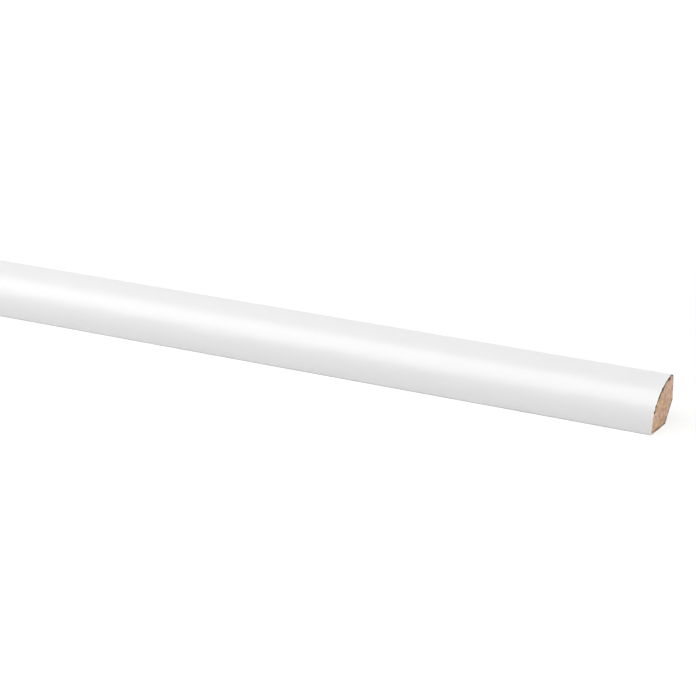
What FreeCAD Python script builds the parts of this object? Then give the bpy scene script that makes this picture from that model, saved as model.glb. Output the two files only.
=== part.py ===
"""Quarter round moulding: one stick of moulded fibreboard that trims the joint of a floor and a wall.

The stick lies along X on its floor face, with the toe towards -Y, the wall face towards +Y and the
quarter round between them. The origin is on the floor, under the middle of the stick. Sizes are in
millimetres.
"""

import FreeCAD
import Part
import Sketcher
import math
import os

# Driving dimensions: name, value and what it measures
SIZES = [
    ("stick_length", 2388, "sold length, 94 in"),
    ("round_radius", 15.875, "radius of the quarter round, which is also the height of the section, 5/8 in"),
    ("lip_land", 3.175, "flat on top, from the end of the round to the wall face, 1/8 in"),
    ("heel_cut_width", 6.2, "width of the clipped heel, along the floor"),
    ("heel_cut_height", 7.0, "height of the clipped heel, up the wall"),
    ("arris_radius", 0.5, "rounding of the two long edges in sight, at the toe and at the lip"),
]

ORIGIN_POINT = (-1, 1)
FLOOR_AXIS = -1
START, END, CENTRE = 1, 2, 3


def make_sheet(doc):
    """The spreadsheet that holds the driving dimensions, one row each."""
    sheet = doc.addObject("Spreadsheet::Sheet", "Sizes")
    for row, (name, value, meaning) in enumerate(SIZES, start=1):
        sheet.set(f"A{row}", name)
        sheet.set(f"B{row}", str(value))
        sheet.set(f"C{row}", meaning)
        sheet.setAlias(f"B{row}", name)
    doc.recompute()
    return sheet


def origin_plane(body, role):
    """One of the body's own origin planes."""
    return next(plane for plane in body.Origin.OriginFeatures if plane.Role == role)


def add_line(sketch, start, end):
    return sketch.addGeometry(Part.LineSegment(FreeCAD.Vector(*start), FreeCAD.Vector(*end)))


def add_arc(sketch, centre, radius, first_angle, last_angle):
    """An arc that runs counter-clockwise between two angles, in degrees."""
    circle = Part.Circle(FreeCAD.Vector(*centre), FreeCAD.Vector(0, 0, 1), radius)
    return sketch.addGeometry(Part.ArcOfCircle(circle, math.radians(first_angle), math.radians(last_angle)))


def add_size(sketch, name, expression, *constraint):
    """A named dimension of the sketch, bound to the sheet."""
    index = sketch.addConstraint(Sketcher.Constraint(*constraint))
    sketch.renameConstraint(index, name)
    sketch.setExpression(f"Constraints.{name}", expression)


def draw_section(body, sheet):
    """The section across the stick, drawn round from the toe: floor face, clipped heel, wall face,
    lip and quarter round, with the arrises at the lip and the toe."""
    radius, land, arris = sheet.round_radius, sheet.lip_land, sheet.arris_radius
    wall_y = (radius + land) / 2
    heel_y = wall_y - sheet.heel_cut_width
    round_y = wall_y - land
    toe_reach = math.sqrt((radius - arris) ** 2 - arris**2)
    toe_y = round_y - toe_reach
    toe_angle = 180 - math.degrees(math.atan2(arris, toe_reach))

    sketch = body.newObject("Sketcher::SketchObject", "Section")
    sketch.AttachmentSupport = [(origin_plane(body, "YZ_Plane"), "")]
    sketch.MapMode = "FlatFace"
    floor_face = add_line(sketch, (toe_y, 0), (heel_y, 0))
    heel_cut = add_line(sketch, (heel_y, 0), (wall_y, sheet.heel_cut_height))
    wall_face = add_line(sketch, (wall_y, sheet.heel_cut_height), (wall_y, radius - arris))
    lip_arris = add_arc(sketch, (wall_y - arris, radius - arris), arris, 0, 90)
    lip = add_line(sketch, (wall_y - arris, radius), (round_y, radius))
    quarter_round = add_arc(sketch, (round_y, 0), radius, 90, toe_angle)
    toe_arris = add_arc(sketch, (toe_y, arris), arris, toe_angle, 270)

    for first, second in ((floor_face, heel_cut), (heel_cut, wall_face)):
        sketch.addConstraint(Sketcher.Constraint("Coincident", first, END, second, START))
    smooth_run = (wall_face, lip_arris, lip, quarter_round, toe_arris, floor_face)
    for first, second in zip(smooth_run, smooth_run[1:]):
        sketch.addConstraint(Sketcher.Constraint("Tangent", first, END, second, START))
    sketch.addConstraint(Sketcher.Constraint("Horizontal", floor_face))
    sketch.addConstraint(Sketcher.Constraint("Vertical", wall_face))
    sketch.addConstraint(Sketcher.Constraint("Horizontal", lip))
    sketch.addConstraint(Sketcher.Constraint("PointOnObject", floor_face, START, FLOOR_AXIS))
    sketch.addConstraint(Sketcher.Constraint("PointOnObject", quarter_round, CENTRE, FLOOR_AXIS))

    add_size(sketch, "round_radius", "Sizes.round_radius", "Radius", quarter_round, radius)
    add_size(sketch, "lip_arris_radius", "Sizes.arris_radius", "Radius", lip_arris, arris)
    add_size(sketch, "toe_arris_radius", "Sizes.arris_radius", "Radius", toe_arris, arris)
    add_size(sketch, "lip_land", "Sizes.lip_land", "DistanceX", lip, END, wall_face, START, land)
    add_size(sketch, "heel_cut_width", "Sizes.heel_cut_width",
             "DistanceX", heel_cut, START, heel_cut, END, sheet.heel_cut_width)
    add_size(sketch, "heel_cut_height", "Sizes.heel_cut_height",
             "DistanceY", heel_cut, START, heel_cut, END, sheet.heel_cut_height)
    add_size(sketch, "middle_to_wall", "(Sizes.round_radius + Sizes.lip_land) / 2",
             "DistanceX", *ORIGIN_POINT, wall_face, START, wall_y)
    return sketch


def make_stick(doc, sheet):
    """The stick: its section, run both ways from the middle."""
    body = doc.addObject("PartDesign::Body", "quarter_round")
    body.Label = "quarter_round"
    stick = body.newObject("PartDesign::Pad", "Stick")
    stick.Profile = draw_section(body, sheet)
    stick.SideType = "Symmetric"
    stick.setExpression("Length", "Sizes.stick_length")
    doc.recompute()
    return body


def check_document(doc):
    """Every object is worked out and every solid is sound."""
    for item in doc.Objects:
        if "Invalid" in item.State or "Error" in item.State:
            raise RuntimeError(f"{item.Label} is not worked out: {item.State}")
        if item.TypeId.startswith("PartDesign::") and (item.Shape.isNull() or not item.Shape.isValid()):
            raise RuntimeError(f"{item.Label} has no sound shape")


doc = FreeCAD.newDocument("quarter_round_moulding")
sheet = make_sheet(doc)
body = make_stick(doc, sheet)
check_document(doc)
if len(body.Shape.Solids) != 1:
    raise RuntimeError("the stick is not one solid")

os.makedirs("parts", exist_ok=True)
body.Shape.exportStep(f"parts/{body.Label}.step")
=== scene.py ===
import math

import bpy
from mathutils import Euler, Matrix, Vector


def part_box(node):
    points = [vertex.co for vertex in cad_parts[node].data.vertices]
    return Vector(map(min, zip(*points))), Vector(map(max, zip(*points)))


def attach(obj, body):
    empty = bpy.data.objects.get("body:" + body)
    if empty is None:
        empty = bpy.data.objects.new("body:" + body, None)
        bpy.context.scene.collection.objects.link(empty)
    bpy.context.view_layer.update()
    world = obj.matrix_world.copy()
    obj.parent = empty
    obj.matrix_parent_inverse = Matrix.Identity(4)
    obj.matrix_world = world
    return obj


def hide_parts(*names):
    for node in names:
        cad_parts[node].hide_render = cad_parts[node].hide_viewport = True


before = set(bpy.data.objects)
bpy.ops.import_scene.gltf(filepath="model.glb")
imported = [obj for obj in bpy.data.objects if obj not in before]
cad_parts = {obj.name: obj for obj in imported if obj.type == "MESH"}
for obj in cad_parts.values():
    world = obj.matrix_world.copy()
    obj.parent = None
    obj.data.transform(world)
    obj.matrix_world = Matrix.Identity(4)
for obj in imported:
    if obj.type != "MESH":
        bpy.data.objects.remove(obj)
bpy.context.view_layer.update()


# The fibreboard stick: a length of brown medium-density fibreboard, run through a moulder that cuts its
# quarter round, its lip and its clipped heel, and sawn square at both ends. It is bare wherever the foil
# leaves it: on the two ends, on the heel and on most of the faces that meet the floor and the wall.

# The section, with y towards the wall and z up from the floor, and the room that the foil takes of it
low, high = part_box("quarter_round")
half_length = high.x
round_radius = high.z
wall_y = high.y
section_width = high.y - low.y
lip_land = 0.003175
round_y = wall_y - lip_land
heel_cut_width = 0.0062
heel_cut_height = 0.0070
heel_y = wall_y - heel_cut_width
arris_radius = 0.0005
middle_of_section = Vector((0.2 * round_y, 0.45 * round_radius))
foil_thickness = 0.0002
glue_line = 0.00004
floor_return = 0.0045
wall_return = 0.0012

# The mesh, and its flat map of one cell for each span
outline_pitch = 0.0003
fewest_in_bend = 6
end_rings = 32
body_spans = 24
sawn_face_depth = 0.001
hair = 0.000001
crease_angle = math.radians(30)
map_columns = 5
map_fill = 0.96

# The saw cut: the marks of the blade's teeth, and tufts of fibre torn out of the board
blade_radius = 0.15
hub_shift = 0.35
saw_mark_pitch = 0.0013
saw_mark_depth = 0.00004
saw_mark_sway = 1.5
sways_per_metre = 300
fibre_depth = 0.00009
tufts_per_metre = 1800
tuft_limits = (-0.05, 0.25)
tuft_seed_step = 7
board_seed = 4.0

# The board's colours and grain
tan_tones = [(0.2, (0.34, 0.19, 0.10)), (0.5, (0.565, 0.368, 0.220)), (0.8, (0.78, 0.56, 0.38))]
rosy_tones = [(0.2, (0.35, 0.19, 0.136)), (0.5, (0.553, 0.358, 0.264)), (0.8, (0.75, 0.56, 0.454))]
middle_tone = 0.5
grains_per_metre = 2200
clouds_per_metre = 620
cloud_weight = 0.9
streaks_per_metre = 1100
streak_stretch = (0.08, 1, 1)
planed_weight = 0.5
patches_per_metre = 260
patch_limits = (-0.08, 0.1)
planed_patch_strength = 0.3
knife_mark_pitch = 0.0015
knife_mark_weight = 0.1
board_roughness = 0.85
board_roughness_change = 0.2
board_shine = 0.25
board_relief_depth = 0.0001
relief_strength = 0.5

# The scorch of the saw, with painted shade: a ragged dark rim under the foil, whose strength goes by the
# angle about the round, dashes along the heel and the floor edge, and a stain on the round where the foil is
# chipped away. They stand partly for scorched board, dark glue and crumbled edges, and partly for painted
# shade in the chipped foil edge and in the edges that turn away from the light
lip_angle = 105
scorch_and_shade_by_angle = [
    (27, 0), (28, 0.75), (34, 0.65), (48, 0.65), (50, 1.0), (56, 0.75), (60, 1.0), (68, 1.0),
    (76, 0.5), (86, 0.5), (89, 0.6), (92, 0.15), (96, 0.1), (99, 0.35), (101, 0.6), (105, 0.6),
]
scorch_and_shade_brown = (0.070, 0.052, 0.030, 1)
scorch_and_shade_width = 0.0014
scorch_and_shade_grain = 0.0012
scorch_and_shade_raggedness = 1.6
scorch_and_shade_fade_in = 0.25
scorch_and_shade_fade_out = 0.2
burnt_and_shaded_limits = (0.05, 0.3)
dash_height = (0.0004, 0.0012)
dash_gaps = (-0.15, 0.05)
dash_strength = 0.85
stain_and_shade_depth = (0.0003, 0.0005)
stain_and_shade_length = 0.0016
stain_and_shade_fade = 0.0005


def straight(start, end):
    """Points from start up to end, without end, about one pitch apart."""
    start, end = Vector(start), Vector(end)
    count = max(1, round((end - start).length / outline_pitch))
    return [start.lerp(end, step / count) for step in range(count)]


def bend(centre, radius, first_angle, last_angle):
    """Points of an arc, without its last, about one pitch apart."""
    count = max(fewest_in_bend, round(radius * abs(last_angle - first_angle) / outline_pitch))
    angles = (first_angle + (last_angle - first_angle) * step / count for step in range(count))
    return [Vector(centre) + radius * Vector((math.cos(angle), math.sin(angle))) for angle in angles]


def over_the_round(inset):
    """The run from the wall over the lip and the round to the floor, this far inside the CAD outline."""
    reach = math.sqrt((round_radius - arris_radius) ** 2 - arris_radius**2)
    toe_angle = math.pi - math.atan2(arris_radius, reach)
    lip_z = round_radius - inset
    lip_centre = (wall_y - arris_radius, round_radius - arris_radius)
    toe_centre = (round_y - reach, arris_radius)
    return [
        *bend(lip_centre, arris_radius - inset, 0, math.pi / 2),
        *straight((wall_y - arris_radius, lip_z), (round_y, lip_z)),
        *bend((round_y, 0), round_radius - inset, math.pi / 2, toe_angle),
        *bend(toe_centre, arris_radius - inset, toe_angle, 1.5 * math.pi),
        Vector((round_y - reach, inset)),
    ]


def board_section():
    """The outline of the bare stick, cut back so that the foil and its two returns lie flush."""
    inset = foil_thickness + glue_line
    run = over_the_round(inset)
    rebate_y = run[-1].x + floor_return + glue_line
    rebate_z = round_radius - wall_return - glue_line
    corners = [
        run[-1],
        (rebate_y, inset),
        (rebate_y, 0),
        (heel_y, 0),
        (wall_y, heel_cut_height),
        (wall_y, rebate_z),
        (wall_y - inset, rebate_z),
        run[0],
    ]
    flats = [straight(start, end) for start, end in zip(corners, corners[1:])]
    return [*run[:-1], *[point for flat in flats for point in flat]]


def line_object(name, points, closed=False, sizes=None):
    """A curve through these points. A section swept along it is turned upright, and follows its sizes."""
    data = bpy.data.curves.new(name, "CURVE")
    data.dimensions = "3D"
    spline = data.splines.new("POLY")
    spline.points.add(len(points) - 1)
    for step, point in enumerate(points):
        spline.points[step].co = (*Vector(point).to_3d(), 1)
        spline.points[step].radius = sizes[step] if sizes else 1
        spline.points[step].tilt = math.pi
    spline.use_cyclic_u = closed
    made = bpy.data.objects.new(name, data)
    bpy.context.scene.collection.objects.link(made)
    return made


class Value:
    """A socket of a node tree, so that sums on values are written as sums."""

    def __init__(self, net, socket):
        self.net = net
        self.socket = socket

    def maths(self, operation, *others):
        return self.net.node("ShaderNodeMath", {"operation": operation}, [self, *others])

    def __add__(self, other):
        return self.maths("ADD", other)

    __radd__ = __add__

    def __mul__(self, other):
        return self.maths("MULTIPLY", other)

    __rmul__ = __mul__

    def __sub__(self, other):
        return self.maths("SUBTRACT", other)

    def __rsub__(self, other):
        return self.maths("MULTIPLY_ADD", -1, other)

    def __truediv__(self, other):
        return self.maths("DIVIDE", other)

    def __gt__(self, other):
        return self.maths("GREATER_THAN", other)

    def __abs__(self):
        return self.maths("ABSOLUTE")

    def hypot(self, other):
        """The long side of a right-angled triangle with these two short sides."""
        return (self * self + other * other).maths("SQRT")

    def between(self, first, second):
        """The first where this is 0, the second where it is 1, and a blend of them between."""
        return first + self * (second - first)

    def ramp(self, start, end):
        """0 at start and 1 at end, with a smooth change between them."""
        smooth = {"interpolation_type": "SMOOTHSTEP"}
        return self.net.node("ShaderNodeMapRange", smooth, [self, start, end, 0, 1])

    def beside(self, name):
        """Another output of the same node."""
        return Value(self.net, self.socket.node.outputs[name])


class Net:
    """A node tree that is built by calls."""

    def __init__(self, tree):
        self.tree = tree

    def node(self, kind, settings=None, sockets=(), output=0):
        """A new node: its settings first, then values or links for its sockets, by place or identifier."""
        made = self.tree.nodes.new(kind)
        for name, value in (settings or {}).items():
            if name == "stops":
                for place, _ in value[2:]:
                    made.color_ramp.elements.new(place)
                for element, (place, colour) in zip(made.color_ramp.elements, value):
                    element.position = place
                    element.color = (*colour, 1)
            else:
                setattr(made, name, value)
        keys = {socket.identifier: socket for socket in made.inputs}
        for key, value in sockets.items() if isinstance(sockets, dict) else enumerate(sockets):
            socket = keys[key] if isinstance(key, str) else made.inputs[key]
            for item in value if isinstance(value, list) else [value]:
                if isinstance(item, Value):
                    self.tree.links.new(item.socket, socket)
                else:
                    socket.default_value = item
        return Value(self, made.outputs[output]) if made.outputs else made

    def parts(self, vector):
        """The three parts of a vector."""
        x = self.node("ShaderNodeSeparateXYZ", {}, [vector])
        return x, x.beside("Y"), x.beside("Z")

    def stretched(self, vector, shares):
        """A vector with each of its parts times its share."""
        return self.node("ShaderNodeVectorMath", {"operation": "MULTIPLY"}, [vector, shares])

    def noise(self, where, scale, detail=2, seed=0.0, roughness=0.5):
        """Cloudy values about 0, from -0.5 to 0.5, with this many clouds to the metre."""
        cloudy = self.node(
            "ShaderNodeTexNoise",
            {"noise_dimensions": "4D"},
            {"Vector": where, "W": seed, "Scale": scale, "Detail": detail, "Roughness": roughness},
        )
        return cloudy - 0.5

    def blend(self, share, first, second):
        """A colour that goes from the first to the second with the share."""
        return self.node(
            "ShaderNodeMix",
            {"data_type": "RGBA"},
            {"Factor_Float": share, "A_Color": first, "B_Color": second},
            output=2,
        )


def swept_piece(name, path, inputs, shape, material):
    """A piece whose plain mesh a Geometry Nodes tree makes of a path, from named inputs."""
    kinds = {
        float: "NodeSocketFloat",
        bpy.types.Object: "NodeSocketObject",
        bpy.types.Material: "NodeSocketMaterial",
    }
    inputs = {**inputs, "Finish": material}
    tree = bpy.data.node_groups.new(name, "GeometryNodeTree")
    tree.interface.new_socket("Geometry", in_out="INPUT", socket_type="NodeSocketGeometry")
    items = {
        label: tree.interface.new_socket(label, in_out="INPUT", socket_type=kinds[type(value)])
        for label, value in inputs.items()
    }
    tree.interface.new_socket("Geometry", in_out="OUTPUT", socket_type="NodeSocketGeometry")
    net = Net(tree)
    first = net.node("NodeGroupInput")
    taken = {label: first.beside(label) for label in ("Geometry", *inputs)}
    solid = net.node("GeometryNodeRealizeInstances", {}, [shape(net, taken)])
    solid = net.node("GeometryNodeSetMaterial", {}, {"Geometry": solid, "Material": taken["Finish"]})
    net.node("NodeGroupOutput", {}, [solid])
    modifier = path.modifiers.new(name, "NODES")
    modifier.node_group = tree
    for label, item in items.items():
        modifier[item.identifier] = inputs[label]
    evaluated = path.evaluated_get(bpy.context.evaluated_depsgraph_get())
    mesh = bpy.data.meshes.new_from_object(evaluated)
    piece = bpy.data.objects.new(name, mesh)
    bpy.context.scene.collection.objects.link(piece)
    bpy.data.objects.remove(path)
    return piece


def swept(net, taken):
    """The section swept along the path, at the size that each point of the path has."""
    section = net.node("GeometryNodeObjectInfo", {}, {"Object": taken["Section"]}, output="Geometry")
    sizes = net.node("GeometryNodeInputRadius")
    return net.node(
        "GeometryNodeCurveToMesh",
        {},
        {"Curve": taken["Geometry"], "Profile Curve": section, "Scale": sizes},
    )


def moved_to(net, mesh, x, y, z):
    """The mesh with its points at these places."""
    place = net.node("ShaderNodeCombineXYZ", {}, [x, y, z])
    return net.node("GeometryNodeSetPosition", {}, {"Geometry": mesh, "Position": place})


def kept_on(net, mesh, domain, name, value, kind="FLOAT"):
    """The mesh with a value kept under a name on its points, corners or faces."""
    return net.node(
        "GeometryNodeStoreNamedAttribute",
        {"data_type": kind, "domain": domain},
        {"Geometry": mesh, "Name": name, "Value": value},
    )


def one_for_each(net, domain, value, kind="FLOAT"):
    """A value taken once for each point or face of a mesh."""
    return net.node("GeometryNodeFieldOnDomain", {"data_type": kind, "domain": domain}, [value])


def smooth_but_for_arrises(net, mesh):
    """Smooth shading that breaks at the edges where the faces turn by more than the crease angle."""
    turned = net.node("GeometryNodeInputMeshEdgeAngle") > crease_angle
    mesh = net.node(
        "GeometryNodeSetShadeSmooth",
        {"domain": "FACE"},
        {"Geometry": mesh, "Shade Smooth": True},
    )
    return net.node(
        "GeometryNodeSetShadeSmooth",
        {"domain": "EDGE"},
        {"Geometry": mesh, "Selection": turned, "Shade Smooth": False},
    )


def span_and_along(x, face_x):
    """The number of the span that a face is in, and how far along that span each of its corners is."""
    span = ((face_x / half_length + 1) * (body_spans / 2)).maths("FLOOR")
    return span, (x / half_length + 1) * (body_spans / 2) - span


def turn_about_middle(net, place):
    """How far round the middle of the section each corner is, from 0 to 1, from the heel to the heel."""
    turns = []
    for spot in (one_for_each(net, "FACE", place, "FLOAT_VECTOR"), place):
        _, y, z = net.parts(spot)
        out = y - middle_of_section.x
        up = z - middle_of_section.y
        turns.append((out + up).maths("ARCTAN2", up - out) / math.tau + 0.5)
    of_face, of_corner = turns
    return of_face + (of_corner - of_face).maths("WRAP", 0.5, -0.5)


def with_flat_map(net, mesh, across, up):
    """The mesh with the places of its faces on a flat square, for a finish that is printed on it."""
    place = net.node("ShaderNodeCombineXYZ", {}, [across, up])
    return kept_on(net, mesh, "CORNER", "OFBake", place, "FLOAT2")


def flat_board(net, mesh):
    """The map of the board: its two sawn ends large along the bottom, and its spans in rows above them."""
    place = net.node("GeometryNodeInputPosition")
    x, y, z = net.parts(place)
    face_x = one_for_each(net, "FACE", x)
    sawn = abs(face_x) > half_length - sawn_face_depth
    end_across = ((face_x > 0) + (y - low.y) / section_width) / 2
    end_up = z / section_width / 2
    ends_height = round_radius / section_width / 2
    span, along = span_and_along(x, face_x)
    row = (span / map_columns).maths("FLOOR")
    column = span - row * map_columns
    span_across = (column + along * map_fill) / map_columns
    span_down = (row + turn_about_middle(net, place) * map_fill) / map_columns
    span_up = 1 - (1 - ends_height) * span_down
    return with_flat_map(net, mesh, sawn.between(span_across, end_across), sawn.between(span_up, end_up))


def sawn_stick(net, taken):
    """The section swept along the stick. Its rings past each end close in, pressed flat on the saw cut."""
    x, y, z = net.parts(net.node("GeometryNodeInputPosition"))
    half = taken["Half length"]
    side = x.maths("SIGN")
    end_place = net.node("ShaderNodeCombineXYZ", {}, [side, y, z])
    on_cut = abs(x) > half - hair
    sway = net.noise(end_place, sways_per_metre, seed=taken["Seed"])
    hub_y = y + taken["Blade radius"] * hub_shift
    hub_z = z - taken["Blade radius"]
    turn = hub_y.hypot(hub_z) / taken["Mark pitch"] + sway * saw_mark_sway
    marks = (turn * math.tau).maths("SINE") * 0.5 + 0.5
    torn = net.noise(end_place, tufts_per_metre, detail=3, seed=taken["Seed"] + tuft_seed_step)
    sunk = on_cut * (marks * taken["Mark depth"] + torn.ramp(*tuft_limits) * taken["Fibre depth"])
    mesh = moved_to(net, swept(net, taken), side * (abs(x).maths("MINIMUM", half) - sunk), y, z)
    mesh = net.node("GeometryNodeMergeByDistance", {}, {"Geometry": mesh, "Distance": 2 * hair})
    mesh = kept_on(net, mesh, "FACE", "sawn", abs(x) > half - sawn_face_depth)
    return smooth_but_for_arrises(net, flat_board(net, mesh))


def bare_material(name):
    """A new material, and its node tree with nothing in it."""
    material = bpy.data.materials.new(name)
    material.use_nodes = True
    material.node_tree.nodes.clear()
    return material, Net(material.node_tree)


def share_by_angle(net, y, z, shares):
    """A share that goes by the angle about the round's middle, from 0 degrees at the floor to the lip."""
    turn = z.maths("ARCTAN2", round_y - y) / math.radians(lip_angle)
    stops = [(angle / lip_angle, (share,) * 3) for angle, share in shares]
    return net.node("ShaderNodeValToRGB", {"stops": stops}, [turn])


def fibreboard():
    """Brown board of pressed wood fibre: mottled where it is sawn, smoother where the moulder cut it."""
    material, net = bare_material("fibreboard")
    place = net.node("ShaderNodeTexCoord", output="Object")
    x, y, z = net.parts(place)
    sawn = net.node("ShaderNodeAttribute", {"attribute_name": "sawn"}, output="Fac")

    grain = net.noise(place, grains_per_metre, detail=4, roughness=0.65)
    cloud = net.noise(place, clouds_per_metre, seed=286)
    streak = net.noise(net.stretched(place, streak_stretch), streaks_per_metre, detail=3, seed=6)
    mottled = grain + cloud * cloud_weight
    planed = (grain + streak) * planed_weight
    tone = middle_tone + sawn.between(planed, mottled)
    tan = net.node("ShaderNodeValToRGB", {"stops": tan_tones}, [tone])
    rosy = net.node("ShaderNodeValToRGB", {"stops": rosy_tones}, [tone])
    patches = net.noise(place, patches_per_metre, seed=284).ramp(*patch_limits)
    patch_strength = sawn.between(planed_patch_strength, 1)
    colour = net.blend(0.5 + (patches - 0.5) * patch_strength, tan, rosy)

    # Brown painted near the sawn ends: partly scorch, glue and crumbled edges, partly painted shade
    ragged = net.noise(place, 1 / scorch_and_shade_grain, detail=3, seed=5, roughness=0.6)
    into_round = (y - round_y).maths("MINIMUM", 0)
    under_foil = round_radius - into_round.hypot(z)
    heel_slope = Vector((heel_cut_width, heel_cut_height)).normalized()
    above_heel = z * heel_slope.x - (y - heel_y) * heel_slope.y
    strength = share_by_angle(net, y, z, scorch_and_shade_by_angle)
    burnt_and_shaded = strength.ramp(*burnt_and_shaded_limits)
    ragged_depth = under_foil / scorch_and_shade_width - ragged * scorch_and_shade_raggedness
    scorched_and_shaded_rim = 1 - ragged_depth.ramp(strength - scorch_and_shade_fade_in, strength + scorch_and_shade_fade_out)
    # Dashes along the heel and the floor edge: crumbled edge, and painted shade where the edge turns away
    back_edge = 1 - above_heel.maths("MINIMUM", z).ramp(*dash_height)
    crumbled_and_shaded_dashes = back_edge * ragged.ramp(*dash_gaps) * dash_strength
    # A stain where the foil is chipped away: scorched board and painted shade in the chip
    stain_and_shade_start = half_length - stain_and_shade_length
    by_cut = abs(x).ramp(stain_and_shade_start, stain_and_shade_start + stain_and_shade_fade)
    stain_and_shade = burnt_and_shaded * (1 - under_foil.ramp(*stain_and_shade_depth)) * by_cut
    scorch_and_shade = sawn.between(stain_and_shade, (scorched_and_shaded_rim * burnt_and_shaded).maths("MAXIMUM", crumbled_and_shaded_dashes))
    colour = net.blend(scorch_and_shade, colour, scorch_and_shade_brown)

    knife_marks = (1 - sawn) * (x * (math.tau / knife_mark_pitch)).maths("SINE")
    relief = grain + knife_marks * knife_mark_weight
    bump = net.node(
        "ShaderNodeBump",
        {},
        {"Strength": relief_strength, "Distance": board_relief_depth, "Height": relief},
    )
    shader = net.node(
        "ShaderNodeBsdfPrincipled",
        {},
        {
            "Base Color": colour,
            "Roughness": board_roughness + grain * board_roughness_change,
            "Normal": bump,
            "Specular IOR Level": board_shine,
        },
    )
    net.node("ShaderNodeOutputMaterial", {}, [shader])
    return material


board_outline = [point - middle_of_section for point in board_section()]
section_object = line_object("section", board_outline, closed=True)
body_places = [half_length * (2 * span / body_spans - 1) for span in range(body_spans + 1)]
ring_places = [half_length + outline_pitch * ring for ring in range(1, end_rings + 1)]
ring_sizes = [1 - ring / end_rings for ring in range(1, end_rings + 1)]
stick_places = [*[-place for place in reversed(ring_places)], *body_places, *ring_places]
stick_sizes = [*reversed(ring_sizes), *[1] * len(body_places), *ring_sizes]
stick = swept_piece(
    "fibreboard_stick",
    line_object("path", [(place, *middle_of_section) for place in stick_places], sizes=stick_sizes),
    {
        "Section": section_object,
        "Half length": half_length,
        "Blade radius": blade_radius,
        "Mark pitch": saw_mark_pitch,
        "Mark depth": saw_mark_depth,
        "Fibre depth": fibre_depth,
        "Seed": board_seed,
    },
    sawn_stick,
    fibreboard(),
)
bpy.data.objects.remove(section_object)
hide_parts("quarter_round")
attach(stick, "root")


# The white foil: a satin white film, glued round the stick by a wrapping line. It runs from a return
# under the toe over the round and the lip to a return down the wall face. The saw that cut the stick
# to length broke small chips out of its edge. By the lip its edge is painted brown, partly for scorch
# and partly as painted shade of the chipped edge.

# The chips in the sawn edge, as shares of the chip depth by the angle about the round
chip_depth = 0.0010
chip_half_angle = 2.5
chips = [(5, 0.18), (20, 0.21), (28.5, 0.27), (36, 0.20), (50, 0.06), (63, 0.12)]
lip_chip = [(81.5, 0), (84, 0.15), (88, 0.22), (91, 0.28), (94, 0.45), (97, 0.5), (99, 0.2), (103, 0.1)]
chip_raggedness = 0.6
nick_spacing = 0.0004
edge_wear = 0.018
edge_wear_raggedness = 2
foil_seed = 11.0

# The mesh, with a short row of faces by each saw cut, and its flat map
end_row = 0.0025
foil_map_columns = 13
foil_map_rows = 4
foil_map_stretch = 1.75
inner_face_margin = 0.1

# The film's whites, the painted highlight along its sawn edge, its brown by the lip for scorch and painted
# shade, and the grain and the waves of the glue under it
dull_white = (0.84, 0.84, 0.84, 1)
bright_white = (0.86, 0.86, 0.86, 1)
cut_edge_highlight_white = (0.93, 0.93, 0.93, 1)
cut_edge_highlight_width = (0.0002, 0.0006)
cut_edge_highlight_strength = 0.7
lip_scorch_and_shade = [(70, 0), (75, 0.08), (96, 0.08), (100, 1), (103, 1)]
lip_scorch_and_shade_depth = 0.0009
lip_scorch_and_shade_fade = (0.7, 1.2)
lip_scorch_and_shade_limits = (0, 0.08)
lip_scorch_and_shade_strength = 0.85
white_clouds_per_metre = 30
film_grains_per_metre = 2500
film_grain_weight = 0.24
glue_waves_per_metre = 170
glue_wave_stretch = (0.35, 1, 1)
glue_wave_weight = 12
film_roughness = 0.32
film_roughness_change = 0.04
film_shine = 1.0
film_relief_depth = 0.00004


def foil_section():
    """The line of the foil's outer face, from its edge on the wall face to its edge under the toe."""
    run = over_the_round(0)
    edge_on_wall = Vector((wall_y, round_radius - wall_return))
    edge_under_toe = run[-1] + Vector((floor_return, 0))
    return [*straight(edge_on_wall, run[0]), *run[:-1], *straight(run[-1], edge_under_toe), edge_under_toe]


def flat_foil(net, mesh, sunk, first_row):
    """The map of the foil: a cell for each span and end row, drawn in where sunk is 1, on the inner face."""
    place = net.node("GeometryNodeInputPosition")
    x = net.parts(place)[0]
    face_x = one_for_each(net, "FACE", x)
    in_end_row = abs(face_x) > half_length - end_row
    span, along_span = span_and_along(x, face_x)
    along_end_row = (abs(x) - half_length) / end_row + 1
    cell = in_end_row.between(span, body_spans + (face_x > 0))
    along = in_end_row.between(along_span, along_end_row)
    row = (cell / foil_map_columns).maths("FLOOR")
    column = cell - row * foil_map_columns
    fill = map_fill - inner_face_margin * sunk
    across = (column + 0.5 + (along - 0.5) * fill) / foil_map_columns
    round_share = (turn_about_middle(net, place) - 0.5) * foil_map_stretch
    up = (first_row + row + 0.5 + round_share * fill) / foil_map_rows
    return with_flat_map(net, mesh, across, up)


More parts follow.
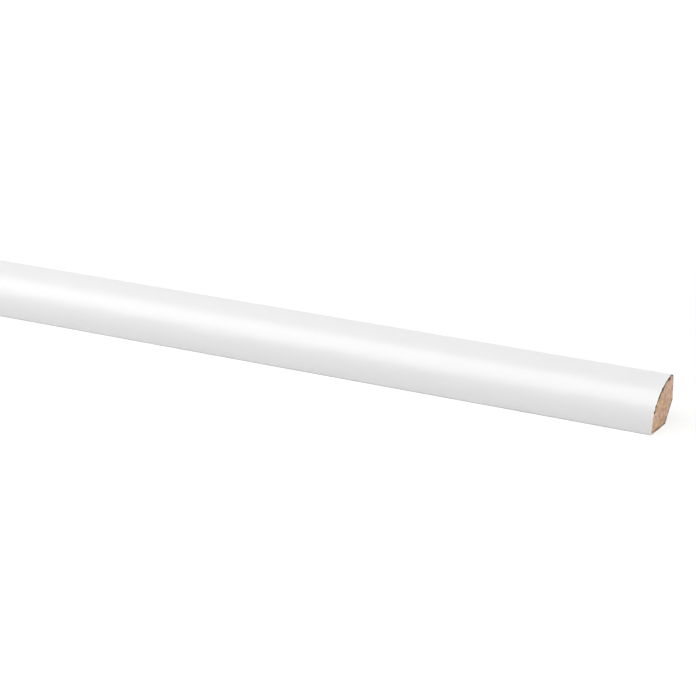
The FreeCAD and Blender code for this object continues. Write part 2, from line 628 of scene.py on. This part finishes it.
def wrapped_foil(net, taken):
    """The foil's outer face swept along the stick, chipped at its two sawn edges and given its thickness."""
    x, y, z = net.parts(net.node("GeometryNodeInputPosition"))
    side = x.maths("SIGN")
    end_place = net.node("ShaderNodeCombineXYZ", {}, [side, y, z])
    at_cut = abs(x) > taken["Half length"] - hair
    ragged = net.noise(end_place, 1 / nick_spacing, detail=1, seed=taken["Seed"])
    notches = [
        [(angle - chip_half_angle, 0), (angle, share), (angle + chip_half_angle, 0)]
        for angle, share in chips
    ]
    chipped = share_by_angle(net, y, z, [stop for notch in [*notches, lip_chip] for stop in notch])
    worn = edge_wear * (1 + ragged * edge_wear_raggedness)
    chip = taken["Chip depth"] * (chipped * (1 + ragged * chip_raggedness) + worn)
    sheet = kept_on(net, swept(net, taken), "POINT", "from_edge", (1 - at_cut) * (end_row - chip))
    sheet = moved_to(net, sheet, side * (abs(x) - at_cut * chip), y, z)
    inside = net.node(
        "GeometryNodeExtrudeMesh",
        {"mode": "FACES"},
        {"Mesh": sheet, "Offset Scale": -1 * taken["Thickness"], "Individual": False},
    )
    sunk = one_for_each(net, "POINT", inside.beside("Top"))
    inside = net.node("GeometryNodeFlipFaces", {}, {"Mesh": inside})
    faces = [flat_foil(net, sheet, 0, 0), flat_foil(net, inside, sunk, foil_map_rows / 2)]
    mesh = net.node("GeometryNodeJoinGeometry", {}, [faces])
    mesh = net.node("GeometryNodeMergeByDistance", {}, {"Geometry": mesh, "Distance": hair})
    return smooth_but_for_arrises(net, mesh)


def satin_foil():
    """White satin film: an even white with a fine grain, a painted highlight along its sawn edge, and brown
    by the lip for scorch and painted shade.
    """
    material, net = bare_material("white_foil")
    place = net.node("ShaderNodeTexCoord", output="Object")
    _, y, z = net.parts(place)
    from_edge = net.node("ShaderNodeAttribute", {"attribute_name": "from_edge"}, output="Fac")

    cloud = net.noise(place, white_clouds_per_metre, seed=2)
    white = net.blend(0.5 + cloud, dull_white, bright_white)
    # A painted highlight: a paler strip along the foil's sawn edge, as if the edge caught the light
    painted_edge_highlight = 1 - from_edge.ramp(*cut_edge_highlight_width)
    white = net.blend(painted_edge_highlight * cut_edge_highlight_strength, white, cut_edge_highlight_white)
    # Brown by the lip at the foil's edge: partly scorch, partly painted shade of the chipped edge
    burnt_and_shaded = share_by_angle(net, y, z, lip_scorch_and_shade)
    scorch_and_shade_ends = [burnt_and_shaded * (lip_scorch_and_shade_depth * share) for share in lip_scorch_and_shade_fade]
    scorch_and_shade = burnt_and_shaded.ramp(*lip_scorch_and_shade_limits) * (1 - from_edge.ramp(*scorch_and_shade_ends))
    colour = net.blend(scorch_and_shade * lip_scorch_and_shade_strength, white, scorch_and_shade_brown)

    grain = net.noise(place, film_grains_per_metre, detail=3)
    waves = net.noise(net.stretched(place, glue_wave_stretch), glue_waves_per_metre, seed=9)
    relief = grain * film_grain_weight + waves * glue_wave_weight
    bump = net.node(
        "ShaderNodeBump",
        {},
        {"Strength": relief_strength, "Distance": film_relief_depth, "Height": relief},
    )
    shader = net.node(
        "ShaderNodeBsdfPrincipled",
        {},
        {
            "Base Color": colour,
            "Roughness": film_roughness + cloud * film_roughness_change,
            "Normal": bump,
            "Specular IOR Level": film_shine,
        },
    )
    net.node("ShaderNodeOutputMaterial", {}, [shader])
    return material


section_object = line_object("section", foil_section())
end_places = [half_length - end_row, half_length]
foil_places = [*[-place for place in reversed(end_places)], *body_places[1:-1], *end_places]
foil = swept_piece(
    "white_foil",
    line_object("path", [(place, 0, 0) for place in foil_places]),
    {
        "Section": section_object,
        "Half length": half_length,
        "Thickness": foil_thickness,
        "Chip depth": chip_depth,
        "Seed": foil_seed,
    },
    wrapped_foil,
    satin_foil(),
)
bpy.data.objects.remove(section_object)
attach(foil, "root")


# The studio: a wide white floor and an even white surround, a long softbox over the stick that draws
# the soft light band on its round, and a smaller one past each end for the sawn faces. The camera sees
# the floor glow, with a faint matt white that takes the shadow, and the stick is lit by a plain one.
# Where the stick touches the floor, ambient occlusion dims the glow in a painted contact shadow.

floor_half = 60.0
floor_white = (0.80, 0.80, 0.80, 1)
faint_white = (0.31, 0.31, 0.31, 1)
glow_by_stick = 0.74
glow_spread = (0.1, 0.5)
contact_shadow = 0.00016
shadow_samples = 8
surround_white = (1, 1, 1, 1)
surround_light = 0.28


def seen_or_lighting(net, lighting, seen):
    """One shader for light that falls on things, another for what the camera sees, also reflected."""
    camera_ray = net.node("ShaderNodeLightPath")
    mirrored = camera_ray.beside("Is Glossy Ray").maths("MAXIMUM", camera_ray.beside("Is Transmission Ray"))
    return net.node("ShaderNodeMixShader", {}, [camera_ray.maths("MAXIMUM", mirrored), lighting, seen])


floor_material, net = bare_material("white_floor")
x, y, _ = net.parts(net.node("ShaderNodeTexCoord", output="Object"))
past_end = (abs(x) - half_length).maths("MAXIMUM", 0)
glow_share = past_end.hypot(y).ramp(*glow_spread).between(glow_by_stick, 1)
# Ambient occlusion dims the glow where the stick touches the floor: a painted contact shadow
painted_contact_shade = net.node(
    "ShaderNodeAmbientOcclusion",
    {"samples": shadow_samples},
    {"Distance": contact_shadow},
    output="AO",
)
glow = net.node("ShaderNodeEmission", {}, {"Color": glow_share * painted_contact_shade})
faint = net.node("ShaderNodeBsdfDiffuse", {}, {"Color": faint_white})
seen_floor = net.node("ShaderNodeAddShader", {}, [faint, glow])
matt = net.node("ShaderNodeBsdfDiffuse", {}, {"Color": floor_white})
net.node("ShaderNodeOutputMaterial", {}, [seen_or_lighting(net, matt, seen_floor)])

floor_mesh = bpy.data.meshes.new("floor")
corners = [(-1, -1, 0), (1, -1, 0), (1, 1, 0), (-1, 1, 0)]
floor_mesh.from_pydata([Vector(corner) * floor_half for corner in corners], [], [(0, 1, 2, 3)])
floor_mesh.materials.append(floor_material)
floor = bpy.data.objects.new("floor", floor_mesh)
bpy.context.scene.collection.objects.link(floor)

world = bpy.data.worlds.new("surround")
bpy.context.scene.world = world
world.use_nodes = True
world.node_tree.nodes.clear()
net = Net(world.node_tree)
dim = net.node("ShaderNodeBackground", {}, {"Color": surround_white, "Strength": surround_light})
white = net.node("ShaderNodeBackground", {}, {"Color": surround_white, "Strength": 1})
net.node("ShaderNodeOutputWorld", {}, [seen_or_lighting(net, dim, white)])


def softbox(name, place, aim, size, power):
    """A rectangular softbox at a place, turned to face a point."""
    data = bpy.data.lights.new(name, "AREA")
    data.shape = "RECTANGLE"
    data.size, data.size_y = size
    data.energy = power
    made = bpy.data.objects.new(name, data)
    made.location = place
    made.rotation_euler = (Vector(aim) - Vector(place)).to_track_quat("-Z", "Y").to_euler()
    bpy.context.scene.collection.objects.link(made)


softbox("top_softbox", place=(0, -0.268, 0.7), aim=(0, 0, 0), size=(3.32, 0.66), power=12.5)
for name, side in (("near_end_softbox", 1), ("far_end_softbox", -1)):
    end = (side * half_length, 0, 0)
    softbox(name, place=(side * 3.1, 0.25, 0.4), aim=end, size=(0.9, 0.6), power=15.8)


# The camera: a long lens, looking down on the near end of the stick from its front right. It is placed
# by where the corner of the toe lies along the camera's own axes, which run right, up and back.

azimuth = math.radians(28.51)
pitch = math.radians(18.95)
toe_corner = Vector((half_length, round_y - round_radius, 0))
corner_in_view = Vector((0.10159, -0.02937, -0.7806))

data = bpy.data.cameras.new("camera")
data.lens = 120.5
data.sensor_width = 36
data.clip_end = 200
camera = bpy.data.objects.new("camera", data)
camera.rotation_euler = Euler((math.pi / 2 - pitch, 0, azimuth))
camera.location = toe_corner - camera.rotation_euler.to_matrix() @ corner_in_view
bpy.context.scene.collection.objects.link(camera)
bpy.context.scene.camera = camera
bpy.context.scene.view_settings.view_transform = "Standard"
